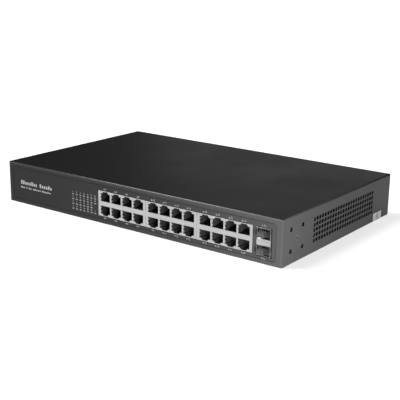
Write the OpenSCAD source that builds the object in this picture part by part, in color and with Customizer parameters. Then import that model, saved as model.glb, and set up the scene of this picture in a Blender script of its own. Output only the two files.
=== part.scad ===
// Rackmount network switch: 24 twisted-pair ports, two transceiver bays, one mains inlet.
// Millimetres. X runs left to right as seen from the front, Y runs front to back, Z is up.
// The origin is the middle of the case's underside.

/* [Case] */
// Width of the case, over the two sides of the cover
body_w = 340; // [336:1:356]
// Depth of the case, from the front panel's face to the rear panel's face
body_d = 210; // [205:1:240]
// Height of the case
body_h = 43.6; // [43:0.1:44.4]
// Thickness of the steel sheet
sheet = 1; // [0.8:0.1:1.2]
// Outside radius of the two long bends of the cover
cover_bend = 1.8; // [1.6:0.1:3]
// Outside radius of the bends of the base
base_bend = 1.6; // [1.3:0.1:2]
// How far the cover's front and rear edges stand back from the panels' faces
cover_setback = 1.5; // [1.2:0.1:2.5]

/* [Side vents and rack ear holes] */
// Distance between vent hole centres
vent_pitch = 5; // [4.6:0.1:5]
// Diameter of a vent hole
vent_d = 3.9; // [3:0.1:4.2]
// Columns of vent holes in each side
vent_columns = 24; // [8:1:24]
// Rows of vent holes in each side
vent_rows = 5; // [3:1:5]
// First vent column's distance behind the front panel
vent_start = 54.3; // [54:0.1:60]
// Side of the square of four rack ear holes
ear_pitch = 20; // [18:0.5:22]
// Diameter of a rack ear hole in the cover
ear_hole_d = 4.2; // [4:0.1:4.4]
// Distance of the square's centre behind the front panel
ear_back = 23.8; // [22:0.1:26]

/* [Front panel] */
// Width of the printed film on the front panel
film_w = 327.2; // [320:0.2:330]
// Height of the printed film
film_h = 34.7; // [34:0.1:36]
// Depth of the pressed recess that the film lies in
recess_depth = 0.4; // [0.3:0.05:0.6]
// Distance between two ports side by side
port_pitch = 14.05; // [13.97:0.01:14.2]
// Width of one block of eight ports
block_w = 60.3; // [60:0.1:60.4]
// Height of the visible face of a block
block_h = 25.6; // [25:0.1:25.8]
// Depth of a block
block_depth = 27.5; // [24:0.5:30]
// Distance between status lamps, both ways
lamp_pitch = 5; // [4.8:0.1:5]

/* [Transceiver bays] */
// Inside width of a bay
bay_w = 14.2; // [14:0.1:14.4]
// Inside height of a bay
bay_h = 9.6; // [9:0.1:9.8]
// Height of the divider between the bays
divider_h = 6; // [5.5:0.1:6.2]
// How far the dust plug's grip stands out of the front panel
grip_proud = 5.8; // [4:0.1:8]

/* [Rear panel] */
// Place of the mains inlet's centre along the rear panel
inlet_x = -128; // [-132:1:-110]
// Place of the earth screw along the rear panel
earth_x = -86; // [-92:1:-60]

/* [Hidden] */

fine = 48;                                // circle segments on visible round work
cut = 1;                                  // how far a cutting shape runs past a face
touch = 0.05;                             // air between pieces that rest against each other
half_w = body_w / 2;
half_d = body_d / 2;
mid_z = body_h / 2;

seam = 0.15;                              // air between cover and base
panel_rim = cover_setback - 0.2;          // depth of the panels' rims
base_w = body_w - 2 * (sheet + seam);
base_h = body_h - sheet - seam;
cover_foot = 0.5;                         // height of the cover's lower edges
front_flange = 12;                        // depth of the base's front flange under the cover
side_lip = 8;                             // height of the base's low side walls
side_wall_end = 56.5;                     // length of the base's tall side walls, at the ear holes
rear_return = 10;                         // length of the base's rear side walls
rear_tab_h = 10;                          // height of the cover's flange inside the rear panel
rear_screw_x = [-40, 55, 150];            // cover screws along the rear panel
rear_screw_z = 37;
foot_mark = [140, 80, 14, 0.4];           // round marks for stick-on feet: x, y, diameter, depth

face_y = -half_d + 0.3;                   // front face of the port blocks
film_t = recess_depth - 0.1;
film_gap = 0.4;                           // gap between the film and the edge of its recess
film_z = 21.6;                            // height of the film's centre

port_z = 20.6;                            // height between the two rows of ports
block_x = [for (i = [0:2]) -11.8 + i * (block_w + 0.2)];
shield_t = 0.35;
port_half = 6.1;                          // half the width of a port's opening
port_inner = 2.3;                         // opening's edge nearest the other row
port_outer = 10.3;                        // opening's outer edge, beside the latch steps
latch_steps = [[3.9, 11.2], [3.0, 12.1]]; // half width and outer edge of each step
cavity_depth = 13;
contact_pitch = 1.02;

bay_x = 151;
bay_z = 20.1;                             // height of the divider's centre
bay_centre = divider_h / 2 + bay_h / 2;   // each bay's centre above or below the divider's
bay_side_gap = 0.6;                       // extra room at the right of the cage in the panel
bay_proud = 0.6;                          // how far the cage stands out of the panel
cage_t = 0.4;
cage_depth = 48;
cage_setback = 1.4;                       // how far two of its walls stand back at the mouth
plug_gap = 0.3;
plug_inset = 2.4;                         // depth of the plug's face inside the bay
plug_depth = 14;
grip = [7.2, 4.4];                        // width and height of the plug's grip

lamp_first = [-76.3, 23.6];               // x and z of the top left lamp
lamp_size = [2.6, 1.1];
// Lamps as [column, row]: four for each of the first six columns, then two bays and power
lamps = concat([for (c = [0:5], r = [0:3]) [c, r]], [[6, 0], [6, 1], [6, 3]]);

board_t = 1.6;
board_top = 7;
board_x = [-88, 163];
board_y = [-half_d + 1.6, 5];
board_posts = [for (y = [-70, -3], x = [-82, 35, 135]) [x, y]];
supply_x = [-152, -47];
supply_y = [12, 68];
supply_posts = [for (y = [16, 64], x = [-148, -51]) [x, y]];

inlet_z = mid_z;
inlet_body = [27, 19.6, 24];              // width, height and depth behind the panel
inlet_flange = [50, 23, 3];
inlet_hole = [24.6, 16.6, 18];            // width, height and depth of the socket
inlet_screw_gap = 40;
earth_z = 12;

wire_d = 1.8;
output_x = -62;                           // headers of the low-voltage wires
// Routes of the wires inside the case, as points that a smooth curve passes through
live_route = [
    [0, 80.8, 19.8], [0, 77, 19.8], [0, 70, 22], [0, 62, 21.5], [0, 58.2, 18], [0, 58, 12]
];
earth_route = [
    [inlet_x, 80.8, 23.8], [inlet_x, 77, 24.5], [inlet_x + 9, 73.5, 28], [inlet_x + 24, 78, 29],
    [earth_x - 7, 90, 26], [earth_x, 97, 21.5], [earth_x, 98.6, 15.5]
];
output_route = [
    [0, 16.5, 12], [0, 16.5, 17], [0, 13, 20], [0, 7, 21], [0, 0, 20], [0, -3.6, 17], [0, -4, 12]
];

// ---------- Shared shapes ----------

// Rectangle with round corners, centred on the origin
module round_rect(w, h, r) {
    square([w - 2 * r, h], center = true);
    square([w, h - 2 * r], center = true);
    for (x = [-1, 1], y = [-1, 1])
        translate([x * (w / 2 - r), y * (h / 2 - r)]) circle(r, $fn = fine);
}

// Block with its middle at x and y, standing on z
module block(x, y, z, w, d, h) {
    translate([x - w / 2, y - d / 2, z]) cube([w, d, h]);
}

// Prism of a flat outline drawn in X and Z, from y0 back to y1
module along_y(y0, y1) {
    translate([0, y1, 0]) rotate([90, 0, 0]) linear_extrude(y1 - y0) children();
}

// Prism of a flat outline drawn in Y and Z, from x0 to x1
module along_x(x0, x1) {
    translate([x0, 0, 0]) rotate([90, 0, 90]) linear_extrude(x1 - x0) children();
}

// Round bar along Y, Z or X
module rod_y(x, y0, y1, z, r) {
    translate([x, y1, z]) rotate([90, 0, 0]) cylinder(h = y1 - y0, r = r, $fn = fine);
}
module rod_z(x, y, z0, z1, r) {
    translate([x, y, z0]) cylinder(h = z1 - z0, r = r, $fn = fine);
}
module rod_x(x0, x1, y, z, r) {
    translate([x0, y, z]) rotate([0, 90, 0]) cylinder(h = x1 - x0, r = r, $fn = fine);
}

// Box with all its edges round, in the case's frame, shrunk by t on every side
module bent_box(w, d, h, r, t) {
    rr = r - t;
    intersection() {
        translate([0, 0, t]) linear_extrude(h - 2 * t) round_rect(w - 2 * t, d - 2 * t, rr);
        along_x(-w / 2 + t, w / 2 - t) translate([0, h / 2]) round_rect(d - 2 * t, h - 2 * t, rr);
        along_y(-d / 2 + t, d / 2 - t) translate([0, h / 2]) round_rect(w - 2 * t, h - 2 * t, rr);
    }
}

// Both sides of the case: the children, and their mirror image
module both_sides() {
    children();
    mirror([1, 0, 0]) children();
}

// Screw with its head's face at the origin and its shank along -Z, with a cross recess
module pan_screw(head_r, head_h, shank_r, length) {
    difference() {
        union() {
            translate([0, 0, -head_h]) cylinder(h = head_h, r = head_r, $fn = fine);
            translate([0, 0, -head_h - length]) cylinder(h = length + touch, r = shank_r, $fn = fine);
        }
        cross_recess(head_r);
    }
}
module flat_screw(head_r, head_h, shank_r, length) {
    difference() {
        union() {
            translate([0, 0, -head_h]) cylinder(h = head_h, r1 = shank_r, r2 = head_r, $fn = fine);
            translate([0, 0, -length]) cylinder(h = length - head_h + touch, r = shank_r, $fn = fine);
        }
        cross_recess(head_r);
    }
}
module cross_recess(head_r) {
    slot = head_r * 0.24;
    for (a = [0, 90])
        rotate(a) translate([-head_r * 0.6, -slot / 2, -0.8]) cube([head_r * 1.2, slot, 0.8 + cut]);
}

// ---------- Swept wires ----------

// Points of a smooth curve through a route, four to each stretch
function curve_point(a, b, c, d, t) =
    0.5 * (2 * b + (c - a) * t + (2 * a - 5 * b + 4 * c - d) * t * t
        + (3 * b - a - 3 * c + d) * t * t * t);
function smooth(route) = concat(
    [for (i = [0:len(route) - 2], k = [0:3])
        curve_point(route[max(i - 1, 0)], route[i], route[i + 1],
            route[min(i + 2, len(route) - 1)], k / 4)],
    [route[len(route) - 1]]);
function heading(p, i) =
    let (v = p[min(i + 1, len(p) - 1)] - p[max(i - 1, 0)]) v / norm(v);

// Round wire of diameter d along a route; side is a direction that the route never takes
module wire(route, d, side = [1, 0, 0]) {
    sides = 8;
    line = smooth(route);
    rings = [for (i = [0:len(line) - 1])
        let (along = heading(line, i), u = cross(along, side), a = u / norm(u), b = cross(along, a))
        [for (k = [0:sides - 1]) line[i] + d / 2 * (a * cos(k * 45) + b * sin(k * 45))]];
    last = len(line) - 1;
    polyhedron(
        points = [for (r = rings, p = r) p],
        faces = concat(
            [for (i = [0:last - 1], k = [0:sides - 1])
                let (n = (k + 1) % sides)
                [i * sides + k, (i + 1) * sides + k, (i + 1) * sides + n, i * sides + n]],
            [[for (k = [0:sides - 1]) k]],
            [[for (k = [sides - 1:-1:0]) last * sides + k]]));
}

// ---------- Outlines on the front panel ----------

// One port's opening with its stepped latch notch; row is 1 above and -1 below
module port_outline(row, shrink = 0) {
    xs = port_half - shrink;
    right = [
        [xs, port_inner + shrink], [xs, port_outer - shrink],
        for (s = latch_steps) each [
            [s[0] - shrink, (s == latch_steps[0] ? port_outer : latch_steps[0][1]) - shrink],
            [s[0] - shrink, s[1] - shrink]
        ]
    ];
    left = [for (i = [len(right) - 1:-1:0]) [-right[i][0], right[i][1]]];
    polygon([for (p = concat(right, left)) [p[0], row * p[1]]]);
}

// The eight openings of a block, about the block's centre
module block_ports(shrink = 0) {
    for (c = [-1.5:1:1.5], row = [-1, 1])
        translate([c * port_pitch, 0]) port_outline(row, shrink);
}

// Window of all three blocks, larger than them by gap on every side
module ports_window(gap) {
    x0 = block_x[0] - block_w / 2 - gap;
    x1 = block_x[2] + block_w / 2 + gap;
    translate([x0, port_z - block_h / 2 - gap]) square([x1 - x0, block_h + 2 * gap]);
}
module bays_window(gap) {
    w = bay_w + 2 * (cage_t + gap);
    h = 2 * bay_h + divider_h + 2 * (cage_t + gap);
    translate([bay_x - w / 2, bay_z - h / 2]) square([w + bay_side_gap, h]);
}
module lamp_outlines(gap) {
    for (l = lamps)
        translate([lamp_first[0] + l[0] * lamp_pitch, lamp_first[1] - l[1] * lamp_pitch])
            square([lamp_size[0] + 2 * gap, lamp_size[1] + 2 * gap], center = true);
}

// ---------- Case ----------

module chassis_base() {
    color([0.13, 0.13, 0.14]) difference() {
        union() {
            bent_box(base_w, body_d, base_h, base_bend, 0);
            full_panels();
        }
        bent_box(base_w, body_d, base_h, base_bend, sheet);
        // Open top, behind the front flange
        open_y0 = -half_d + front_flange;
        open_y1 = half_d - panel_rim;
        block(0, (open_y0 + open_y1) / 2, base_h - base_bend - sheet, base_w + cut,
            open_y1 - open_y0, body_h);
        // Low side walls where the cover's vents are
        window_y0 = -half_d + side_wall_end;
        window_y1 = half_d - rear_return;
        block(0, (window_y0 + window_y1) / 2, side_lip, base_w + cut, window_y1 - window_y0, body_h);
        front_cuts();
        rear_cuts();
        // Seats of the pressed-in nuts
        both_sides() ear_places() rod_x(-3 * sheet, sheet, 0, 0, 2.8);
        // Marks for stick-on feet
        for (x = [-1, 1], y = [-1, 1])
            rod_z(x * foot_mark[0], y * foot_mark[1], -cut, foot_mark[3], foot_mark[2] / 2);
    }
}

// Front and rear panels, as wide and high as the cover, with short rims that the cover butts against
module full_panels() {
    intersection() {
        bent_box(body_w, body_d, body_h, base_bend, 0);
        for (side = [-1, 1])
            block(0, side * (half_d - panel_rim / 2), -cut, body_w + cut, panel_rim, body_h + 2 * cut);
    }
}

module front_cuts() {
    along_y(-half_d - cut, -half_d + recess_depth)
        translate([0, film_z]) round_rect(film_w, film_h, 3);
    along_y(-half_d - cut, -half_d + 2 * sheet) {
        ports_window(0.35);
        bays_window(0.35);
        lamp_outlines(0.1);
    }
}

module rear_cuts() {
    block(inlet_x, half_d, inlet_z - inlet_body[1] / 2 - 0.3, inlet_body[0] + 0.6, 4,
        inlet_body[1] + 0.6);
    for (x = [-1, 1]) rod_y(inlet_x + x * inlet_screw_gap / 2, half_d - 2, half_d + cut, inlet_z, 1.6);
    rod_y(earth_x, half_d - 2, half_d + cut, earth_z, 2.15);
    for (x = rear_screw_x) rod_y(x, half_d - 2, half_d + cut, rear_screw_z, 1.6);
}

// Children at the right side's four ear holes and at the cover screw in their middle
module ear_places(middle = true, corners = true) {
    y = -half_d + ear_back;
    z = 22;
    if (corners)
        for (a = [-1, 1], b = [-1, 1])
            translate([half_w, y + a * ear_pitch / 2, z + b * ear_pitch / 2]) children();
    if (middle) translate([half_w, y, z]) children();
}

module top_cover() {
    length = body_d - 2 * cover_setback;
    color([0.12, 0.12, 0.13]) difference() {
        union() {
            difference() {
                along_y(-length / 2, length / 2) cover_profile(0);
                along_y(-length / 2 - cut, length / 2 + cut) cover_profile(sheet);
            }
            // Flange behind the rear panel, which its screws pull against
            block(0, half_d - cover_setback - sheet / 2, body_h - sheet - rear_tab_h, body_w - 20,
                sheet, rear_tab_h + touch);
        }
        both_sides() {
            side_vents();
            ear_places(middle = false) rod_x(-2 * sheet, cut, 0, 0, ear_hole_d / 2);
            ear_places(corners = false) countersink();
        }
        for (x = rear_screw_x) rod_y(x, half_d - 4, half_d, rear_screw_z, 1.5);
    }
}

// Outline of the folded cover, shrunk by t, with its open side at the bottom
module cover_profile(t) {
    r = cover_bend - t;
    top = body_h - t;
    bottom = cover_foot - (t > 0 ? cut : 0);
    w = half_w - t;
    translate([-w, bottom]) square([2 * w, top - r - bottom]);
    translate([-w + r, top - 2 * r]) square([2 * (w - r), 2 * r]);
    for (x = [-1, 1]) translate([x * (w - r), top - r]) circle(r, $fn = fine);
}

module side_vents() {
    z0 = mid_z - (vent_rows - 1) / 2 * vent_pitch;
    for (c = [0:vent_columns - 1], r = [0:vent_rows - 1])
        rod_x(half_w - 2 * sheet, half_w + cut, -half_d + vent_start + c * vent_pitch,
            z0 + r * vent_pitch, vent_d / 2);
}

module countersink() {
    rotate([0, 90, 0]) {
        translate([0, 0, -sheet - cut]) cylinder(h = 2 * cut + sheet, r = 1.7, $fn = fine);
        translate([0, 0, -sheet - 0.2]) cylinder(h = sheet + 0.21, r1 = 1.6, r2 = 2.95, $fn = fine);
    }
}

// Pressed-in nuts behind the ear holes and behind the two cover screws
module ear_nuts() {
    color([0.72, 0.72, 0.7]) both_sides() {
        ear_places(middle = false) press_nut(1.75);
        ear_places(corners = false) press_nut(1.5);
    }
}
module press_nut(bore) {
    wall_out = -sheet - seam;
    difference() {
        union() {
            rod_x(wall_out - sheet - 2, wall_out - sheet - touch, 0, 0, 4);
            rod_x(wall_out - sheet - 2, wall_out - 0.2, 0, 0, 2.7);
        }
        rod_x(-sheet - 6, cut, 0, 0, bore);
    }
}

module cover_side_screws() {
    color([0.16, 0.16, 0.17]) both_sides()
        ear_places(corners = false) translate([-0.1, 0, 0]) rotate([0, 90, 0])
            flat_screw(2.75, 1.15, 1.4, 5);
}

module cover_rear_screws() {
    color([0.16, 0.16, 0.17]) for (x = rear_screw_x)
        translate([x, half_d + 1.8 + touch, rear_screw_z]) rotate([-90, 0, 0])
            pan_screw(2.8, 1.8, 1.4, 5);
}

module front_film() {
    color([0.1, 0.1, 0.11]) difference() {
        along_y(-half_d + 0.1, -half_d + 0.1 + film_t)
            translate([0, film_z]) round_rect(film_w - 2 * film_gap, film_h - 2 * film_gap, 2.6);
        along_y(-half_d - cut, -half_d + cut) {
            ports_window(0.35);
            bays_window(0.35);
            lamp_outlines(0.1);
        }
    }
}

// Plain paper seal near the rear of the right side
module side_sticker() {
    color([0.85, 0.85, 0.85])
        block(half_w + 0.08, -half_d + 183.3, 0.9, 0.1, 18, 7.7);
}

// ---------- Port blocks ----------

module jack_shield(i) {
    h = block_h;
    z0 = port_z - h / 2;
    color([0.75, 0.76, 0.77]) difference() {
        block(block_x[i], face_y + block_depth / 2, z0, block_w, block_depth, h);
        block(block_x[i], face_y + block_depth / 2, z0 - cut, block_w - 2 * shield_t,
            block_depth - 2 * shield_t, h + cut - shield_t);
        translate([block_x[i], 0, port_z]) along_y(face_y - cut, face_y + cut) block_ports();
    }
}

module jack_housing(i) {
    inner_w = block_w - 2 * (shield_t + touch);
    inner_d = block_depth - 2 * (shield_t + touch);
    z0 = port_z - block_h / 2;
    front = face_y + shield_t + touch;
    color([0.05, 0.05, 0.05]) union() {
        difference() {
            block(block_x[i], front + inner_d / 2, z0, inner_w, inner_d, block_h - shield_t - touch);
            translate([block_x[i], 0, port_z])
                along_y(front - cut, front + cavity_depth) block_ports(0.1);
        }
        // Pegs that stand on the board
        for (x = [-1, 1], y = [4, inner_d - 4])
            rod_z(block_x[i] + x * (inner_w / 2 - 4), front + y, board_top, z0 + touch, 1.5);
    }
}

// Eight sprung contacts in each port, on the side away from the latch
module jack_contacts(i) {
    length = 8.6;
    slope = 6;
    color([0.85, 0.68, 0.3])
        for (c = [-1.5:1:1.5], row = [-1, 1], k = [-3.5:1:3.5])
            translate([block_x[i] + c * port_pitch + k * contact_pitch, face_y + 3.6,
                port_z + row * (port_inner + 0.35)])
                rotate([row * slope, 0, 0]) block(0, length / 2, -0.15, 0.4, length, 0.3);
}

// ---------- Transceiver bays ----------

module bay_cage() {
    y0 = -half_d - bay_proud;
    w = bay_w + 2 * cage_t;
    h = 2 * bay_h + divider_h + 2 * cage_t;
    color([0.7, 0.7, 0.69]) difference() {
        block(bay_x, y0 + cage_depth / 2, bay_z - h / 2, w, cage_depth, h);
        block(bay_x, y0 + cage_depth / 2 - cage_t, bay_z - h / 2 + cage_t, bay_w, cage_depth,
            h - 2 * cage_t);
        // The left and bottom walls end behind the panel's face
        block(bay_x - w / 2, y0, bay_z - h / 2 - cut, 2 * cage_t + cut, 2 * cage_setback, h + cut - cage_t);
        block(bay_x - cage_t, y0, bay_z - h / 2 - cut, w, 2 * cage_setback, cut + cage_t);
    }
}

// Folded strip between the two bays: its front is the bright bar between the openings
module bay_divider() {
    y0 = -half_d - bay_proud + 0.1;
    length = cage_depth - 12;
    fold_h = divider_h - 2 * touch;
    w = bay_w - 2 * touch;
    color([0.8, 0.8, 0.8]) difference() {
        block(bay_x, y0 + length / 2, bay_z - fold_h / 2, w, length, fold_h);
        block(bay_x, y0 + length / 2 + cage_t, bay_z - fold_h / 2 + cage_t, w + cut, length,
            fold_h - 2 * cage_t);
    }
}

// Sprung strips over and beside the cage that touch the edge of the panel's window
module bay_springs() {
    w = bay_w + 2 * cage_t;
    h = 2 * bay_h + divider_h + 2 * cage_t;
    y = -half_d + 3.4;
    color([0.72, 0.66, 0.45]) {
        for (k = [-1.5:1:1.5])
            block(bay_x + k * 3.6, y, bay_z + h / 2 + 0.08, 2.6, 4, 0.24);
        for (side = [-1, 1], k = [-2:1:2])
            block(bay_x + side * (w / 2 + 0.2), y, bay_z + k * 4.8 - 1.8, 0.24, 4, 3.6);
    }
}

// The two card-edge connectors at the back of the bays
module bay_connectors() {
    y1 = -half_d - bay_proud + cage_depth - cage_t - touch;
    color([0.07, 0.07, 0.07]) for (side = [-1, 1])
        difference() {
            block(bay_x, y1 - 4, bay_z + side * bay_centre - 3, 12.5, 8, 6);
            block(bay_x, y1 - 6.5, bay_z + side * bay_centre - 0.9, 10.4, 6, 1.8);
        }
}

// Rubber plug of a bay: a ribbed stopper with a square grip
module dust_plug(side) {
    y0 = -half_d + plug_inset;
    z = bay_z + side * bay_centre;
    w = bay_w - 2 * plug_gap;
    h = bay_h - 2 * plug_gap;
    color([0.2, 0.2, 0.21]) union() {
        translate([bay_x, 0, z]) along_y(y0, y0 + 2) round_rect(w, h, 0.8);
        translate([bay_x, 0, z]) along_y(y0 + 1.9, y0 + plug_depth) round_rect(w - 1, h - 1, 0.6);
        for (k = [0:2])
            translate([bay_x, 0, z]) along_y(y0 + 4.5 + k * 3.4, y0 + 5.7 + k * 3.4)
                round_rect(w, h, 0.8);
        translate([bay_x, 0, z]) along_y(-half_d - grip_proud, y0 + 0.1)
            round_rect(grip[0], grip[1], 0.7);
    }
}

// ---------- Status lamps ----------

module lamp_holder() {
    x0 = lamp_first[0] - 3.2;
    x1 = lamp_first[0] + 6 * lamp_pitch + 3.2;
    color([0.06, 0.06, 0.06]) difference() {
        block((x0 + x1) / 2, -half_d + 7, board_top, x1 - x0, 11, 19.4);
        along_y(-half_d, -half_d + 20) lamp_outlines(0.1);
    }
}

module lamp_lenses() {
    color([0.8, 0.82, 0.8]) along_y(-half_d + 0.15, -half_d + 10) lamp_outlines(0);
}

// ---------- Main board ----------

module main_board() {
    color([0.05, 0.25, 0.14]) difference() {
        translate([board_x[0], board_y[0], board_top - board_t])
            cube([board_x[1] - board_x[0], board_y[1] - board_y[0], board_t]);
        for (p = board_posts) rod_z(p[0], p[1], 0, board_top + cut, 1.7);
    }
}
module posts(places) {
    color([0.7, 0.7, 0.68]) for (p = places) difference() {
        rod_z(p[0], p[1], sheet + touch, board_top - board_t - touch, 3);
        rod_z(p[0], p[1], sheet + 0.6, board_top, 1.5);
    }
}
module post_screws(places) {
    color([0.7, 0.7, 0.68]) for (p = places)
        translate([p[0], p[1], board_top + 1.8 + touch]) pan_screw(2.8, 1.8, 1.4, 4.5);
}

chip_place = [18.5, -18];
phy_y = -38;

module switch_chip() {
    color([0.08, 0.08, 0.08]) block(chip_place[0], chip_place[1], board_top + touch, 20, 20, 1.8);
}
// Finned heatsink standing on z
module finned_sink(x, y, z, w, h, fins) {
    pitch = (w - 1) / (fins - 1);
    union() {
        block(x, y, z, w, w, 2);
        for (k = [0:fins - 1]) block(x - w / 2 + 0.5 + k * pitch, y, z + 1.9, 1, w, h - 1.9);
    }
}
module switch_heatsink() {
    color([0.75, 0.76, 0.77])
        finned_sink(chip_place[0], chip_place[1], board_top + 1.8 + 2 * touch, 32, 14, 9);
}
module phy_chips() {
    color([0.08, 0.08, 0.08]) for (x = block_x) block(x, phy_y, board_top + touch, 14, 14, 1.4);
}
module phy_heatsinks() {
    color([0.75, 0.76, 0.77]) for (x = block_x)
        finned_sink(x, phy_y, board_top + 1.4 + 2 * touch, 19, 9, 6);
}
module magnetics() {
    color([0.1, 0.1, 0.1]) for (x = block_x, side = [-1, 1]) {
        block(x + side * 15, -58, board_top + 0.6, 27, 11, 5.6);
        for (row = [-1, 1]) block(x + side * 15, -58 + row * 6.6, board_top + touch, 24, 2, 0.5);
    }
}
module board_capacitors() {
    color([0.15, 0.16, 0.2])
        for (x = [-70, -58, 72, 84, 96]) rod_z(x, -22, board_top + touch, board_top + 11, 4);
}
module board_header() {
    color([0.85, 0.84, 0.78]) difference() {
        block(output_x, -4, board_top + touch, 15, 7, 9);
        block(output_x, -4, board_top + 4, 13, 5, 9);
    }
}

// ---------- Power supply ----------

module supply_board() {
    color([0.5, 0.38, 0.16]) difference() {
        translate([supply_x[0], supply_y[0], board_top - board_t])
            cube([supply_x[1] - supply_x[0], supply_y[1] - supply_y[0], board_t]);
        for (p = supply_posts) rod_z(p[0], p[1], 0, board_top + cut, 1.7);
    }
}
module supply_insulator() {
    color([0.9, 0.9, 0.86]) difference() {
        block((supply_x[0] + supply_x[1]) / 2, (supply_y[0] + supply_y[1]) / 2, sheet + touch,
            supply_x[1] - supply_x[0] + 6, supply_y[1] - supply_y[0] + 6, 0.3);
        for (p = supply_posts) rod_z(p[0], p[1], 0, board_top, 3.4);
    }
}
module supply_transformer() {
    color([0.85, 0.72, 0.2]) union() {
        block(-85, 40, board_top + touch, 18, 28, 19);
        block(-85, 40, board_top + 4, 28, 18, 11);
    }
}
module supply_heatsinks() {
    color([0.75, 0.76, 0.77]) for (x = [-107, -65]) union() {
        block(x, 40, board_top + touch, 2, 38, 24);
        for (k = [-1, 1]) block(x + 2.9, 40 + k * 18, board_top + touch, 4, 2, 24);
    }
}
module supply_bulk_capacitor() {
    color([0.12, 0.12, 0.14]) rod_y(-122, 16, 42, board_top + touch + 9, 9);
}
module supply_choke() {
    color([0.65, 0.35, 0.15]) translate([-141, 34, board_top + touch]) difference() {
        cylinder(h = 9, r = 9, $fn = fine);
        translate([0, 0, -cut]) cylinder(h = 11, r = 4, $fn = fine);
    }
}
module supply_capacitors() {
    color([0.12, 0.14, 0.22])
        for (y = [34, 46]) rod_z(-54, y, board_top + touch, board_top + 17, 5);
}
module supply_headers() {
    color([0.85, 0.84, 0.78]) for (p = [[inlet_x, 58, 20], [output_x, 16.5, 15]]) difference() {
        block(p[0], p[1], board_top + touch, p[2], 7, 9);
        block(p[0], p[1], board_top + 4, p[2] - 2, 5, 9);
    }
}

// ---------- Mains inlet, earth screw and wires ----------

// Socket outline: the two upper corners are cut off
module socket_outline() {
    w = inlet_hole[0] / 2;
    h = inlet_hole[1] / 2;
    bevel = 5;
    polygon([[-w, -h], [w, -h], [w, h - bevel], [w - bevel, h], [-w + bevel, h], [-w, h - bevel]]);
}
module mains_inlet() {
    color([0.05, 0.05, 0.05]) difference() {
        union() {
            translate([inlet_x, 0, inlet_z])
                along_y(half_d + touch, half_d + inlet_flange[2])
                    round_rect(inlet_flange[0], inlet_flange[1], 5);
            block(inlet_x, half_d - inlet_body[2] / 2 + 0.1, inlet_z - inlet_body[1] / 2,
                inlet_body[0], inlet_body[2] + 0.2, inlet_body[1]);
        }
        translate([inlet_x, 0, inlet_z])
            along_y(half_d + inlet_flange[2] - inlet_hole[2], half_d + inlet_flange[2] + cut)
                socket_outline();
        for (x = [-1, 1]) translate([inlet_x + x * inlet_screw_gap / 2, 0, inlet_z]) {
            rod_y(0, half_d - cut, half_d + inlet_flange[2] + cut, 0, 1.7);
            rod_y(0, half_d + 1.3, half_d + inlet_flange[2] + cut, 0, 3.1);
        }
    }
}
module mains_pins() {
    back = half_d + inlet_flange[2] - inlet_hole[2] + touch;
    color([0.8, 0.8, 0.78]) for (p = [[-7, -2], [0, 2], [7, -2]])
        block(inlet_x + p[0], back + 6.5, inlet_z + p[1] - 2, 2, 13, 4);
}
module inlet_screws() {
    color([0.7, 0.7, 0.68]) for (x = [-1, 1])
        translate([inlet_x + x * inlet_screw_gap / 2, half_d + 3.1, inlet_z]) rotate([-90, 0, 0])
            pan_screw(2.8, 1.7, 1.4, 6.4);
}
module hex_nut(size, t, bore) {
    difference() {
        cylinder(h = t, d = size / cos(30), $fn = 6);
        translate([0, 0, -cut]) cylinder(h = t + 2 * cut, r = bore, $fn = fine);
    }
}
module inlet_nuts() {
    color([0.7, 0.7, 0.68]) for (x = [-1, 1])
        translate([inlet_x + x * inlet_screw_gap / 2, half_d - sheet - touch, inlet_z])
            rotate([90, 0, 0]) hex_nut(5.5, 2.4, 1.5);
}
module earth_screw() {
    color([0.75, 0.75, 0.72]) union() {
        difference() {
            rod_y(earth_x, half_d + touch, half_d + 0.9, earth_z, 4.6);
            rod_y(earth_x, half_d - cut, half_d + 2, earth_z, 1.5);
        }
        translate([earth_x, half_d + 3.2, earth_z]) rotate([-90, 0, 0])
            pan_screw(3.9, 2.35, 1.9, 9);
    }
}
module earth_nut() {
    color([0.75, 0.75, 0.72]) translate([earth_x, half_d - sheet - touch, earth_z])
        rotate([90, 0, 0]) hex_nut(7, 3.2, 2);
}
module live_wires() {
    for (k = [-1, 1]) color(k < 0 ? [0.35, 0.18, 0.08] : [0.1, 0.2, 0.55])
        wire([for (p = live_route) p + [inlet_x + k * 5, 0, 0]], wire_d);
}
module earth_wire() {
    color([0.3, 0.55, 0.15]) wire(earth_route, wire_d, side = [0, 0.3, 1]);
    // Ring terminal on the earth screw, behind its nut; the wire ends on its tab
    color([0.8, 0.8, 0.78]) difference() {
        union() {
            rod_y(earth_x, 99.6, 100.4, earth_z, 4);
            block(earth_x, 100, earth_z, 3, 0.8, 6);
        }
        rod_y(earth_x, 99, 101, earth_z, 2);
    }
}
module output_wires() {
    color([0.6, 0.1, 0.08]) for (k = [-1.5:1:1.5])
        wire([for (p = output_route) p + [output_x + k * 3, 0, 0]], wire_d);
}

chassis_base();
top_cover();
front_film();
side_sticker();
jack_shield(0);  // jack_shield_left
jack_shield(1);  // jack_shield_middle
jack_shield(2);  // jack_shield_right
jack_housing(0);  // jack_housing_left
jack_housing(1);  // jack_housing_middle
jack_housing(2);  // jack_housing_right
jack_contacts(0);  // jack_contacts_left
jack_contacts(1);  // jack_contacts_middle
jack_contacts(2);  // jack_contacts_right
bay_cage();
bay_divider();
bay_springs();
bay_connectors();
dust_plug(1);  // dust_plug_upper
dust_plug(-1);  // dust_plug_lower
lamp_holder();
lamp_lenses();
main_board();
posts(board_posts);  // board_standoffs
post_screws(board_posts);  // board_screws
switch_chip();
switch_heatsink();
phy_chips();
phy_heatsinks();
magnetics();
board_capacitors();
board_header();
supply_board();
posts(supply_posts);  // supply_standoffs
post_screws(supply_posts);  // supply_screws
supply_insulator();
supply_transformer();
supply_heatsinks();
supply_bulk_capacitor();
supply_choke();
supply_capacitors();
supply_headers();
mains_inlet();
mains_pins();
inlet_screws();
inlet_nuts();
earth_screw();
earth_nut();
live_wires();
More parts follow.
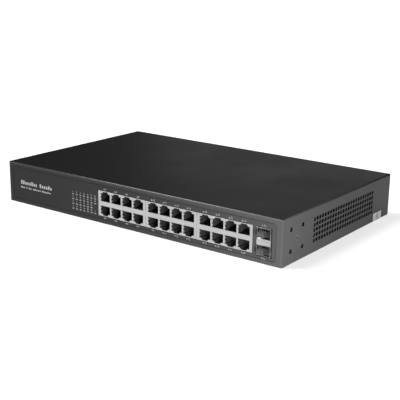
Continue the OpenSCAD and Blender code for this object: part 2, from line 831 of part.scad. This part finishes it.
earth_wire();
output_wires();
ear_nuts();
cover_side_screws();
cover_rear_screws();
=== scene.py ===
"""Looks for the rackmount network switch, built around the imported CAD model."""

import math

import bmesh
import bpy
from mathutils import Matrix, Vector


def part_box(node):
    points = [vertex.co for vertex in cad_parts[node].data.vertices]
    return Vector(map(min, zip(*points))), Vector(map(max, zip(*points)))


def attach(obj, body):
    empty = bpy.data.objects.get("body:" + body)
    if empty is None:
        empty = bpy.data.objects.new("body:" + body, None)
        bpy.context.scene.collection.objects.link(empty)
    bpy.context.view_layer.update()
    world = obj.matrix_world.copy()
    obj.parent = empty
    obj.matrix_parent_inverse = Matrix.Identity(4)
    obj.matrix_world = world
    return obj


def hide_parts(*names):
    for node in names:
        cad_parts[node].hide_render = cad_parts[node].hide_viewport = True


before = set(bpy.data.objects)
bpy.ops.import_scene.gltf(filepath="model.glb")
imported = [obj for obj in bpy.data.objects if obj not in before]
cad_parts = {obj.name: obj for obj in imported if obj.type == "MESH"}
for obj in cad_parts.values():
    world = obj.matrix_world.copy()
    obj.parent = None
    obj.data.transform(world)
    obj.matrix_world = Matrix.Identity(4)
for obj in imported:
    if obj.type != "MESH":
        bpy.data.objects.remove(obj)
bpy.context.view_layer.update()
scene = bpy.context.scene
MM = 0.001
X, Y, Z = Vector((1, 0, 0)), Vector((0, 1, 0)), Vector((0, 0, 1))


# ---------- Camera ----------

CAMERA_PLACE = Vector((538.1, -722.6, 263.0)) * MM
AZIMUTH = math.radians(36.42)
ELEVATION = math.radians(15.81)
ROLL = math.radians(0.82)
LENS = 80.09          # millimetres, as is the sensor's width
SENSOR_WIDTH = 36
NEAR = 0.01           # metres, as is FAR
FAR = 100


def camera():
    """The photograph's view: a long lens, in front and to the right, a little above."""
    back = Vector((
        math.sin(AZIMUTH) * math.cos(ELEVATION),
        -math.cos(AZIMUTH) * math.cos(ELEVATION),
        math.sin(ELEVATION)))
    level = Vector((math.cos(AZIMUTH), math.sin(AZIMUTH), 0))
    upright = back.cross(level)
    right = level * math.cos(ROLL) + upright * math.sin(ROLL)
    up = upright * math.cos(ROLL) - level * math.sin(ROLL)
    data = bpy.data.cameras.new("camera")
    data.lens = LENS
    data.sensor_width = SENSOR_WIDTH
    data.clip_start = NEAR
    data.clip_end = FAR
    cam = bpy.data.objects.new("camera", data)
    scene.collection.objects.link(cam)
    rows = [[right[i], up[i], back[i], CAMERA_PLACE[i]] for i in range(3)]
    cam.matrix_world = Matrix(rows + [[0, 0, 0, 1]])
    scene.camera = cam


camera()


# ---------- Making materials ----------

# Grain sizes, depth and sheen of the powder coat
COAT_GRIT = 0.22 * MM
COAT_PEEL = 0.9 * MM
COAT_DRIFT = 60 * MM
COAT_BUMP = 0.018 * MM
COAT_SPECULAR = 0.12


class Nodes:
    """Short names for the shader nodes of one material."""

    def __init__(self, name):
        self.material = bpy.data.materials.new(name)
        self.material.use_nodes = True
        self.tree = self.material.node_tree
        self.shader = self.tree.nodes["Principled BSDF"]
        self.place = self.new("ShaderNodeTexCoord").outputs["Object"]

    def new(self, kind, **settings):
        node = self.tree.nodes.new(kind)
        for key, value in settings.items():
            setattr(node, key, value)
        return node

    def link(self, a, b):
        self.tree.links.new(a, b)

    def noise(self, size, detail=3, stretch=(1, 1, 1), rough=0.5):
        """Noise whose grains are about size metres across, drawn out along the axes by stretch."""
        mapping = self.new("ShaderNodeMapping")
        mapping.inputs["Scale"].default_value = [1 / (size * s) for s in stretch]
        self.link(self.place, mapping.inputs["Vector"])
        noise = self.new("ShaderNodeTexNoise")
        noise.inputs["Scale"].default_value = 1
        noise.inputs["Detail"].default_value = detail
        noise.inputs["Roughness"].default_value = rough
        self.link(mapping.outputs["Vector"], noise.inputs["Vector"])
        return noise.outputs["Fac"]

    def span(self, value, low, high, start=0.3, end=0.7):
        """Value mapped from start..end to low..high. Most of a noise lies between 0.3 and 0.7."""
        node = self.new("ShaderNodeMapRange")
        node.inputs["From Min"].default_value = start
        node.inputs["From Max"].default_value = end
        node.inputs["To Min"].default_value = low
        node.inputs["To Max"].default_value = high
        self.link(value, node.inputs["Value"])
        return node.outputs["Result"]

    def above(self, value, edge, soft=0.1):
        """0 below edge metres, 1 from soft millimetres past it."""
        return self.span(value, 0, 1, edge, edge + soft * MM)

    def below(self, value, edge, soft=0.1):
        """1 below edge metres, 0 from soft millimetres past it."""
        return self.span(value, 1, 0, edge, edge + soft * MM)

    def blend(self, factor, a, b):
        """Colours a and b mixed by factor; each may be a socket or a colour."""
        node = self.new("ShaderNodeMix", data_type="RGBA")
        self.link(factor, node.inputs["Factor"])
        for name, value in (("A", a), ("B", b)):
            socket = next(s for s in node.inputs if s.name == name and s.type == "RGBA")
            if isinstance(value, bpy.types.NodeSocket):
                self.link(value, socket)
            else:
                socket.default_value = (*value, 1)
        return next(s for s in node.outputs if s.type == "RGBA")

    def bump(self, height, distance, normal=None):
        node = self.new("ShaderNodeBump")
        node.inputs["Distance"].default_value = distance
        node.inputs["Strength"].default_value = 1
        self.link(height, node.inputs["Height"])
        if normal:
            self.link(normal, node.inputs["Normal"])
        return node.outputs["Normal"]

    def axis(self, name):
        node = self.new("ShaderNodeSeparateXYZ")
        self.link(self.place, node.inputs[0])
        return node.outputs[name]

    def off_centre(self):
        """Distance from the part's middle plane, to either side."""
        node = self.new("ShaderNodeMath", operation="ABSOLUTE")
        self.link(self.axis("X"), node.inputs[0])
        return node.outputs[0]

    def product(self, *factors):
        result = factors[0]
        for factor in factors[1:]:
            node = self.new("ShaderNodeMath", operation="MULTIPLY")
            self.link(result, node.inputs[0])
            self.link(factor, node.inputs[1])
            result = node.outputs[0]
        return result

    def coat(self, colour):
        """Powder coat with small bright specks: its colour, slow drift and fine grit."""
        grit = self.noise(COAT_GRIT, rough=0.6)
        drift = self.noise(COAT_DRIFT)
        even = self.blend(drift, tone(colour, 0.86), tone(colour, 1.14))
        specks = self.span(grit, 0, 1, 0.52, 0.8)
        return self.blend(specks, even, tone(colour, 1.9)), drift, grit

    def use(self, colour, rough, normal, **values):
        """Wires up the shader. Values are uniform ones, with _ for a space in the socket's name."""
        for socket, value in (("Base Color", colour), ("Roughness", rough), ("Normal", normal)):
            self.link(value, self.shader.inputs[socket])
        for key, value in values.items():
            self.shader.inputs[key.replace("_", " ")].default_value = value
        return self.material


def tone(colour, factor):
    return [min(1, c * factor) for c in colour]


def surface(name, colour, rough, grain=0.4, depth=0.01, mottle=0.12, patch=12,
            stretch=(1, 1, 1), **values):
    """A moulded, painted or metal surface: broad colour drift, fine grain, uneven gloss.
    grain, depth and patch are in millimetres."""
    n = Nodes(name)
    fine = n.noise(grain * MM, stretch=stretch)
    broad = n.noise(patch * MM)
    drifting = n.blend(broad, tone(colour, 1 - mottle), tone(colour, 1 + mottle))
    speckled = n.blend(fine, drifting, tone(colour, 1 + mottle / 2))
    gloss = n.span(broad, rough - 0.08, rough + 0.08)
    return n.use(speckled, gloss, n.bump(fine, depth * MM), **values)


def powder_coat(name, colour, rough):
    """Fine textured powder coat, with painted shade on the punched vent edges and the sides' inside
    faces: near black, without sheen.
    """
    n = Nodes(name)
    coat, drift, grit = n.coat(colour)
    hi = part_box("top_cover")[1]
    # Painted shade: the walls of the punched vents and the inside faces of the sides are darkened
    # to near black.
    inner_shade = n.product(
        n.below(n.off_centre(), hi.x - 0.08 * MM, 0.03),
        n.below(n.axis("Z"), hi.z - 2.1 * MM))
    n.link(n.span(inner_shade, COAT_SPECULAR, 0, 0, 1), n.shader.inputs["Specular IOR Level"])
    orange_peel = n.bump(n.noise(COAT_PEEL, 2), 0.02 * MM)
    return n.use(
        n.blend(inner_shade, coat, tone(colour, 0.15)),
        n.span(drift, rough - 0.04, rough + 0.04),
        n.bump(grit, COAT_BUMP, orange_peel))


def base_finish(outer):
    """The base: painted outside, with painted shade inside, bare zinc on the sides that the cover
    hides.
    The paint is glossier along the top bends of the panels, and has painted shade in the groove
    around the film."""
    n = Nodes("base_finish")
    coat, drift, grit = n.coat(outer)
    plating = n.blend(n.noise(2.5 * MM, 1), (0.3, 0.3, 0.3), (0.4, 0.4, 0.39))
    lo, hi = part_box("top_cover")
    sideways = n.off_centre()
    covered = n.product(
        n.above(n.axis("Y"), lo.y + 1.2 * MM),
        n.below(n.axis("Y"), hi.y - 0.4 * MM),
        n.above(n.axis("Z"), 0.4 * MM))
    bare = n.product(covered, n.above(sideways, hi.x - 1.4 * MM))
    n.link(bare, n.shader.inputs["Metallic"])
    bend = n.above(n.axis("Z"), hi.z - 1.7 * MM, 0.4)
    n.link(n.span(bend, COAT_SPECULAR, 1, 0, 1), n.shader.inputs["Specular IOR Level"])
    gloss = n.blend(bend, n.span(drift, 0.42, 0.5), (0.27, 0.27, 0.27))
    film_lo, film_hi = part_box("front_film")
    # Painted shade: the recess groove around the film is darkened to a tenth of the paint's colour.
    groove_shade = n.product(
        n.below(sideways, film_hi.x + 0.45 * MM, 0.05),
        n.above(n.axis("Y"), film_lo.y - 0.06 * MM, 0.04),
        n.below(n.axis("Y"), film_hi.y + 0.2 * MM),
        n.below(n.axis("Z"), film_hi.z + 0.45 * MM, 0.05),
        n.above(n.axis("Z"), film_lo.z - 0.5 * MM, 0.05))
    coat_with_groove_shade = n.blend(groove_shade, coat, tone(outer, 0.1))
    # Painted shade: the inside surfaces that the cover hides are darkened to 30 per cent of the
    # paint's colour.
    painted = n.blend(covered, coat_with_groove_shade, tone(outer, 0.3))
    return n.use(n.blend(bare, painted, plating), gloss, n.bump(grit, COAT_BUMP))


def brushed(name, colour, rough, along=(1, 1, 1)):
    """Bright sheet metal with rolling marks drawn out along one axis."""
    n = Nodes(name)
    tint = n.blend(n.noise(7 * MM), tone(colour, 0.93), tone(colour, 1.05))
    gloss = n.span(n.noise(1.5 * MM, 4, along), rough - 0.07, rough + 0.09)
    marks = n.noise(0.12 * MM, stretch=along)
    return n.use(tint, gloss, n.bump(marks, 0.004 * MM), Metallic=1.0)


# ---------- Materials ----------

CASE = (0.018, 0.018, 0.0184)
paint = powder_coat("case_paint", CASE, 0.46)
base_paint = base_finish(CASE)
film = surface("panel_film", (0.0165, 0.0165, 0.0168), 0.5, grain=0.3, depth=0.006, mottle=0.08,
               patch=40, Specular_IOR_Level=COAT_SPECULAR)
tin = brushed("tinned_steel", (0.51, 0.51, 0.51), 0.36, along=(14, 1, 1))
zinc = brushed("zinc_plate", (0.6, 0.6, 0.58), 0.36)
dark_zinc = surface("black_zinc", (0.13, 0.13, 0.135), 0.26, grain=0.15, depth=0.006, mottle=0.2,
                    patch=3, Metallic=1.0)
socket_black = surface("socket_plastic", (0.0095, 0.0095, 0.0098), 0.38, grain=0.25,
                       depth=0.006, patch=6)
inlet_black = surface("inlet_plastic", (0.014, 0.014, 0.0145), 0.42, grain=0.35, depth=0.012,
                      patch=9)
gold = surface("gold_contact", (0.3, 0.25, 0.17), 0.3, grain=0.1, depth=0.003, patch=2,
               Metallic=1.0)
spring_metal = surface("spring_metal", (0.5, 0.48, 0.44), 0.3, grain=0.1, depth=0.003, patch=3,
                       Metallic=1.0)
rubber = surface("grey_rubber", (0.15, 0.15, 0.152), 0.62, grain=0.3, depth=0.02, mottle=0.1,
                 patch=4, Specular_IOR_Level=0.2)
ink = surface("print_ink", (0.6, 0.6, 0.6), 0.6, grain=0.12, depth=0.006, mottle=0.1, patch=2)
lens = surface("lamp_lens", (0.42, 0.42, 0.42), 0.32, grain=0.2, depth=0.006, mottle=0.06,
               patch=2)
paper = surface("paper_label", (0.74, 0.74, 0.73), 0.55, grain=0.2, mottle=0.04, patch=5)
label_ink = surface("label_ink", (0.12, 0.12, 0.12), 0.5, grain=0.15, depth=0.005, mottle=0.2,
                    patch=2)
board_green = surface("board_green", (0.015, 0.09, 0.04), 0.3, grain=0.5, depth=0.02, patch=8)
board_tan = surface("board_tan", (0.42, 0.29, 0.13), 0.5, grain=0.6, depth=0.02, patch=10)
chip_black = surface("chip_epoxy", (0.02, 0.02, 0.02), 0.45, grain=0.2, patch=5)
extruded = brushed("heatsink_aluminium", (0.75, 0.76, 0.77), 0.38, along=(1, 12, 1))
sleeve = surface("capacitor_sleeve", (0.02, 0.025, 0.045), 0.25, grain=0.6, patch=6)
nylon = surface("nylon", (0.72, 0.7, 0.62), 0.42, grain=0.3, mottle=0.05, patch=6)
tape = surface("winding_tape", (0.72, 0.55, 0.1), 0.35, grain=0.8, depth=0.02, patch=5)
copper = surface("copper_winding", (0.6, 0.27, 0.1), 0.3, depth=0.05, patch=4,
                 stretch=(1, 1, 12), Metallic=1.0)
blue_wire = surface("wire_blue", (0.05, 0.08, 0.3), 0.4, grain=0.3, depth=0.005, patch=6)
green_wire = surface("wire_green", (0.15, 0.36, 0.05), 0.4, grain=0.3, depth=0.005, patch=6)
red_wire = surface("wire_red", (0.45, 0.03, 0.025), 0.4, grain=0.3, depth=0.005, patch=6)

# Each material with the nodes that it covers
FINISHES = [
    (base_paint, "chassis_base"),
    (paint, "top_cover"),
    (film, "front_film"),
    (paper, "side_sticker"),
    (tin, "jack_shield_left jack_shield_middle jack_shield_right bay_cage bay_divider"),
    (socket_black, "jack_housing_left jack_housing_middle jack_housing_right"),
    (socket_black, "bay_connectors lamp_holder"),
    (gold, "jack_contacts_left jack_contacts_middle jack_contacts_right"),
    (spring_metal, "bay_springs"),
    (rubber, "dust_plug_upper dust_plug_lower"),
    (lens, "lamp_lenses"),
    (board_green, "main_board"),
    (board_tan, "supply_board"),
    (chip_black, "switch_chip phy_chips magnetics"),
    (extruded, "switch_heatsink phy_heatsinks supply_heatsinks"),
    (sleeve, "board_capacitors supply_bulk_capacitor supply_capacitors"),
    (nylon, "board_header supply_insulator supply_headers"),
    (tape, "supply_transformer"),
    (copper, "supply_choke"),
    (inlet_black, "mains_inlet"),
    (zinc, "board_standoffs board_screws supply_standoffs supply_screws ear_nuts"),
    (zinc, "mains_pins inlet_screws inlet_nuts earth_screw earth_nut"),
    (dark_zinc, "cover_side_screws cover_rear_screws"),
    (blue_wire, "live_wires"),
    (green_wire, "earth_wire"),
    (red_wire, "output_wires"),
]
# Width in millimetres of the small radius along the edges of the nodes that can be seen
EDGES = [
    (0.04, "front_film"),
    (0.06, "jack_shield_left jack_shield_middle jack_shield_right"),
    (0.08, "bay_cage cover_side_screws"),
    (0.1, "bay_divider jack_housing_left jack_housing_middle jack_housing_right"),
    (0.12, "chassis_base lamp_lenses"),
    (0.14, "top_cover"),
    (0.2, "inlet_screws cover_rear_screws"),
    (0.25, "earth_screw"),
    (0.3, "dust_plug_upper dust_plug_lower mains_pins"),
    (0.4, "mains_inlet"),
]
EDGE_SEGMENTS = 2
SHARP_ANGLE = math.radians(40)
WELD_GAP = 0.002 * MM


def soften(obj, width):
    """Rounds an object's edges by a small radius, as real sheet and mouldings have."""
    weld = obj.modifiers.new("weld", "WELD")
    weld.merge_threshold = WELD_GAP
    bevel = obj.modifiers.new("edges", "BEVEL")
    bevel.width = width * MM
    bevel.segments = EDGE_SEGMENTS
    bevel.limit_method = "ANGLE"
    bevel.angle_limit = SHARP_ANGLE
    bevel.harden_normals = True


for finish, names in FINISHES:
    for name in names.split():
        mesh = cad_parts[name].data
        mesh.materials.clear()
        mesh.materials.append(finish)
for width, names in EDGES:
    for name in names.split():
        soften(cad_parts[name], width)


# ---------- Making pieces ----------

def piece(name, bm, body, finish):
    """Turns bm into an object that rides on a body."""
    bmesh.ops.recalc_face_normals(bm, faces=bm.faces)
    mesh = bpy.data.meshes.new(name)
    bm.to_mesh(mesh)
    bm.free()
    obj = bpy.data.objects.new(name, mesh)
    scene.collection.objects.link(obj)
    mesh.materials.append(finish)
    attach(obj, body)
    return obj


def prism(bm, outline, origin, u, v, depth):
    """Solid with a flat outline of (a, b) points at origin + a u + b v, pushed along u x v
    by depth."""
    w = u.cross(v).normalized() * depth
    near = [bm.verts.new(origin + u * a + v * b) for a, b in outline]
    far = [bm.verts.new(p.co + w) for p in near]
    bm.faces.new(near)
    bm.faces.new(list(reversed(far)))
    for i, p in enumerate(near):
        j = (i + 1) % len(near)
        bm.faces.new((p, near[j], far[j], far[i]))


def rounded(w, h, r, steps=4):
    """Outline of a rectangle with round corners, centred on the origin."""
    points = []
    for k, (sx, sy) in enumerate(((1, 1), (-1, 1), (-1, -1), (1, -1))):
        for s in range(steps + 1):
            a = math.radians(90 * (k + s / steps))
            points.append((
                sx * (w / 2 - r) + r * math.cos(a),
                sy * (h / 2 - r) + r * math.sin(a)))
    return points


# ---------- Printing on the front panel ----------

film_lo, film_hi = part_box("front_film")
film_face = film_lo.y
BLOCKS = ["left", "middle", "right"]
blocks = [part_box("jack_shield_" + b) for b in BLOCKS]
COLUMNS = 4                   # sockets across one block
PORT_PITCH = 14.05 * MM
PRINT = 0.03 * MM             # thickness of the print
FONT_SIZE = 1.42              # a font's size over the height of its digits
BOLDNESS = 0.012              # growth of the strokes over the height of the digits
PORT_DIGIT = (1.35 * MM, 1.75 * MM)
PORT_SHIFT = 1.0 * MM         # of a number to the right, to make room for its triangle
TRIANGLE_GAP = 1.2 * MM
TRIANGLE_HALF = 0.75 * MM
TRIANGLE_FOOT = 0.65 * MM
ABOVE_PORTS = 2.1 * MM
BELOW_PORTS = 1.9 * MM
LAMP_PITCH = 5 * MM
LAMP_ROWS = 4
LAMP_COLUMNS = 7
LAMP_HALF = (1.3 * MM, 0.55 * MM)
LAMP_DIGIT = 1.45 * MM
ABOVE_LAMPS = 2.5 * MM
POWER_RADIUS = 0.5 * MM
POWER_STROKE = 0.16 * MM
POWER_BAR = 0.65 * MM


def text(bm, words, at, height):
    """Adds printed characters of that height, in metres, centred on at."""
    curve = bpy.data.curves.new("characters", "FONT")
    curve.body = words
    curve.align_x = "CENTER"
    curve.align_y = "CENTER"
    curve.size = height * FONT_SIZE
    curve.offset = height * BOLDNESS
    curve.extrude = PRINT / 2
    curve.resolution_u = 3
    obj = bpy.data.objects.new("characters", curve)
    mesh = bpy.data.meshes.new_from_object(obj)
    turn = Matrix((X, Z, -Y)).transposed().to_4x4()
    mesh.transform(Matrix.Translation(at - Y * PRINT / 2) @ turn)
    bm.from_mesh(mesh)
    bpy.data.objects.remove(obj)
    bpy.data.curves.remove(curve)
    bpy.data.meshes.remove(mesh)


def port_label(bm, number, x, z, point):
    """A port's number, and beside it a small triangle that points up (1) or down (-1)."""
    digit_width, digit_height = PORT_DIGIT
    centre = Vector((x + PORT_SHIFT, film_face, z))
    text(bm, str(number), centre, digit_height)
    left = digit_width * len(str(number)) / 2 + TRIANGLE_GAP
    foot = -point * TRIANGLE_FOOT
    shape = [(-TRIANGLE_HALF, foot), (TRIANGLE_HALF, foot), (0, point * TRIANGLE_HALF)]
    prism(bm, shape, centre - X * left, X, Z, PRINT)


def port_pair(bm, odd, x, lo, hi):
    """The labels of an upper and a lower port, around the sheet from lo to hi."""
    port_label(bm, odd + 1, x, hi.z + ABOVE_PORTS, 1)
    port_label(bm, odd, x, lo.z - BELOW_PORTS, -1)


def power_sign(bm, at):
    """A ring with a gap at the top and a bar in the gap."""
    steps = 20
    start, end = 120, 420
    angles = [math.radians(start + (end - start) * s / steps) for s in range(steps + 1)]
    half = POWER_STROKE / 2
    outer, inner = POWER_RADIUS + half, POWER_RADIUS - half
    ring = [(math.cos(a) * outer, math.sin(a) * outer) for a in angles]
    ring += [(math.cos(a) * inner, math.sin(a) * inner) for a in reversed(angles)]
    prism(bm, ring, at, X, Z, PRINT)
    bar = [(-half, 0), (half, 0), (half, POWER_BAR), (-half, POWER_BAR)]
    prism(bm, bar, at, X, Z, PRINT)


def print_numbers():
    bm = bmesh.new()
    for i, (lo, hi) in enumerate(blocks):
        for c in range(COLUMNS):
            x = (lo.x + hi.x) / 2 + (c - (COLUMNS - 1) / 2) * PORT_PITCH
            port_pair(bm, 2 * (COLUMNS * i + c) + 1, x, lo, hi)
    cage_lo, cage_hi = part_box("bay_cage")
    first_bay = 2 * COLUMNS * len(blocks) + 1
    port_pair(bm, first_bay, (cage_lo.x + cage_hi.x) / 2, cage_lo, cage_hi)
    lens_lo, lens_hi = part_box("lamp_lenses")
    half_width, half_height = LAMP_HALF
    first = Vector((lens_lo.x + half_width, film_face, lens_hi.z - half_height + ABOVE_LAMPS))
    for c in range(LAMP_COLUMNS):
        for r in range(LAMP_ROWS):
            number = LAMP_ROWS * c + r + 1
            at = first + X * c * LAMP_PITCH - Z * r * LAMP_PITCH
            if number <= first_bay + 1:
                text(bm, str(number), at, LAMP_DIGIT)
            elif r == LAMP_ROWS - 1:
                power_sign(bm, at)
    piece("printed_numbers", bm, "case", ink)


def print_title():
    """Two plain rows of blocks where a name would be: they spell nothing."""
    bm = bmesh.new()
    left = film_lo.x + 10.5 * MM
    # Millimetres: foot, heights of a tall and a short block, length and gap. Then the groups
    rows = [
        (21.4, 4.2, 3.0, 46.5, 1.1, [8, 6]),
        (17.2, 1.9, 1.45, 44.5, 0.62, [4, 1, 3, 7, 8]),
    ]
    for foot, tall, short, length, gap, groups in rows:
        pitch = length / (sum(groups) + len(groups) - 1)
        wide = pitch - gap
        k = 0
        for g, size in enumerate(groups):
            for s in range(size):
                high = tall if s == 0 or (s * 5 + g) % 4 == 1 else short
                shape = rounded(wide * MM, high * MM, wide * MM / 4, 3)
                at = Vector((left + (k + 0.5) * pitch * MM, film_face, (foot + high / 2) * MM))
                prism(bm, shape, at, X, Z, PRINT)
                k += 1
            k += 1
    piece("printed_blocks", bm, "case", ink)


print_numbers()
print_title()


# ---------- Sheet-metal springs around the sockets and bays ----------

BEND_STEPS = 6                # flat pieces along a spring's bend
SPRING_LEFT = 6.1 * MM        # from a socket's middle to its springs
SPRING_HEIGHTS = (4.6 * MM, 8.2 * MM)
SPRING_REACH = 0.57 * MM
SPRING_RADIUS = 1.1 * MM
SPRING_SET = 0.12 * MM        # from the shield's face to the front of a spring
FINGERS = 8                   # on top of one shield
FINGER_START = 3 * MM
FINGER_STEP = 0.7 * MM
FINGER_RISE = 0.24 * MM
LIP_PITCH = 4.4 * MM
LIP_LENGTH = 1.6 * MM
LIP_RISE = 0.55 * MM


def strip(bm, path, across, width, thick):
    """Bent strip of sheet: path points, width along across, thickness to the path's left."""
    sections = []
    for i, p in enumerate(path):
        a, b = path[max(i - 1, 0)], path[min(i + 1, len(path) - 1)]
        normal = (b - a).normalized().cross(across)
        sections.append([
            bm.verts.new(p + across * s * width / 2 + normal * t * thick)
            for s, t in ((-1, 0), (1, 0), (1, 1), (-1, 1))])
    for s, t in zip(sections, sections[1:]):
        for k in range(4):
            n = (k + 1) % 4
            bm.faces.new((s[k], s[n], t[n], t[k]))
    bm.faces.new(sections[0])
    bm.faces.new(list(reversed(sections[-1])))


def bend_angles():
    """Angles of the points along a half turn."""
    return [math.pi * s / BEND_STEPS for s in range(BEND_STEPS + 1)]


def jack_springs(name, lo, hi):
    """Two grounding springs at the left of each opening, bent in from the shield's face."""
    bm = bmesh.new()
    centre = (lo + hi) / 2
    for c in range(COLUMNS):
        x = centre.x + (c - (COLUMNS - 1) / 2) * PORT_PITCH - SPRING_LEFT
        for row in (-1, 1):
            for height in SPRING_HEIGHTS:
                path = [Vector((
                    x + SPRING_REACH * math.sin(a),
                    lo.y + SPRING_SET + SPRING_RADIUS * (1 - math.cos(a)),
                    centre.z + row * height)) for a in bend_angles()]
                strip(bm, path, Z, 1.3 * MM, 0.2 * MM)
    piece(name, bm, "case", tin)


def panel_fingers(name, lo, hi):
    """Fingers on top of a shield that press on the panel's window."""
    bm = bmesh.new()
    for k in range(FINGERS):
        x = lo.x + (k + 0.5) * (hi.x - lo.x) / FINGERS
        path = [Vector((
            x,
            lo.y + FINGER_START + FINGER_STEP * s,
            hi.z + FINGER_RISE * math.sin(a))) for s, a in enumerate(bend_angles())]
        strip(bm, path, X, 3.2 * MM, 0.1 * MM)
    piece(name, bm, "case", tin)


def bay_lips():
    """Rolled lips along the top and bottom edges of the bays' divider."""
    bm = bmesh.new()
    lo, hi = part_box("bay_divider")
    for side, z in ((1, hi.z), (-1, lo.z)):
        for k in (-1, 0, 1):
            x = (lo.x + hi.x) / 2 + k * LIP_PITCH
            path = [Vector((
                x,
                lo.y + LIP_LENGTH * s / BEND_STEPS,
                z + side * LIP_RISE * math.sin(a))) for s, a in enumerate(bend_angles())]
            strip(bm, path if side > 0 else path[::-1], X, 3.0 * MM, 0.15 * MM)
    piece("bay_lips", bm, "case", tin)


for label, (lo, hi) in zip(BLOCKS, blocks):
    jack_springs("jack_springs_" + label, lo, hi)
    panel_fingers("panel_fingers_" + label, lo, hi)
bay_lips()


# ---------- Sticker ----------

LABEL_SHARE = 0.8             # of the sticker's thickness that is paper
RING_SHARE = 0.18             # of the sticker's thickness that is print
LABEL_CORNER = 0.7 * MM
RINGS = ((2.7 * MM, 0.5 * MM), (1.3 * MM, 0.8 * MM))
RING_STEPS = 28


def ring(bm, centre, radius, width, depth):
    """Flat ring on the right side, of straight pieces."""
    inner, outer = radius - width / 2, radius + width / 2
    for s in range(RING_STEPS):
        a, b = (2 * math.pi * k / RING_STEPS for k in (s, s + 1))
        shape = [(r * math.cos(t), r * math.sin(t))
                 for r, t in ((inner, a), (outer, a), (outer, b), (inner, b))]
        prism(bm, shape, centre, Y, Z, depth)


def sticker():
    """The paper label in place of the CAD node, with two plain rings printed on it."""
    lo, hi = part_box("side_sticker")
    thick = hi.x - lo.x
    bm = bmesh.new()
    centre = Vector((lo.x, (lo.y + hi.y) / 2, (lo.z + hi.z) / 2))
    outline = rounded(hi.y - lo.y, hi.z - lo.z, LABEL_CORNER)
    prism(bm, outline, centre, Y, Z, thick * LABEL_SHARE)
    label = piece("side_label", bm, "case", paper)
    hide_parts("side_sticker")
    bm = bmesh.new()
    for radius, width in RINGS:
        ring(bm, centre + X * thick * LABEL_SHARE, radius, width, thick * RING_SHARE)
    piece("label_ring", bm, "case", label_ink)


sticker()


# ---------- Floor and light ----------

FLOOR_REACH = 9               # metres, from the middle to each edge
FLOOR_DROP = 0.02 * MM
SUN_WIDTH = math.radians(36)
WORLD_GREY = 0.05


def floor():
    bm = bmesh.new()
    bmesh.ops.create_grid(bm, x_segments=8, y_segments=8, size=FLOOR_REACH)
    mesh = bpy.data.meshes.new("floor")
    bm.to_mesh(mesh)
    bm.free()
    obj = bpy.data.objects.new("floor", mesh)
    obj.location.z = -FLOOR_DROP
    scene.collection.objects.link(obj)
    mesh.materials.append(surface("floor_paper", (0.8, 0.8, 0.8), 0.9, grain=2, mottle=0.01,
                                  patch=300))
    return obj


def lamp(name, kind, place, energy, target=(0, 0, 0), size=(1, 1), lights_only=None):
    """A light that the camera can't see; lights_only lists the objects it reaches, if not all."""
    data = bpy.data.lights.new(name, kind)
    data.energy = energy
    if kind == "AREA":
        data.shape = "RECTANGLE"
        data.size, data.size_y = size
    else:
        data.angle = SUN_WIDTH
    obj = bpy.data.objects.new(name, data)
    scene.collection.objects.link(obj)
    obj.location = place
    obj.rotation_mode = "QUATERNION"
    obj.rotation_quaternion = (Vector(target) - Vector(place)).to_track_quat("-Z", "Y")
    obj.visible_camera = False
    if lights_only:
        group = bpy.data.collections.new(name + "_reach")
        for lit in lights_only:
            group.objects.link(lit)
        obj.light_linking.receiver_collection = group
    return obj


def lighting(ground):
    """Overcast light from the upper left, a key light low in front of the sockets' end, a soft
    box behind, and a light of its own that keeps the floor white."""
    world = bpy.data.worlds.new("studio")
    world.use_nodes = True
    scene.world = world
    back = world.node_tree.nodes["Background"]
    back.inputs["Color"].default_value = (WORLD_GREY, WORLD_GREY, WORLD_GREY, 1)
    back.inputs["Strength"].default_value = 1.0
    lamp("overcast", "SUN", place=(-0.5, -0.25, 0.8), energy=2.0)
    fill = lamp("floor_fill", "SUN", place=(0, 0, 1), energy=3.0, lights_only=[ground])
    fill.light_linking.blocker_collection = fill.light_linking.receiver_collection
    panels = [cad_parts[n] for n in (
        "chassis_base", "top_cover", "front_film", "cover_side_screws",
        "jack_housing_left", "jack_housing_middle", "jack_housing_right")]
    key = lamp("front_key", "AREA", place=(0.34, -0.305, 0.023), target=(0.17, -0.1, 0.022),
               energy=6.2, size=(0.2, 0.03), lights_only=panels)
    key.visible_glossy = False
    lamp("back_softbox", "AREA", place=(-0.55, 1.3, 0.45), target=(0.05, 0, 0.04),
         energy=0.85, size=(0.9, 0.6))
    scene.view_settings.view_transform = "Standard"


lighting(floor())
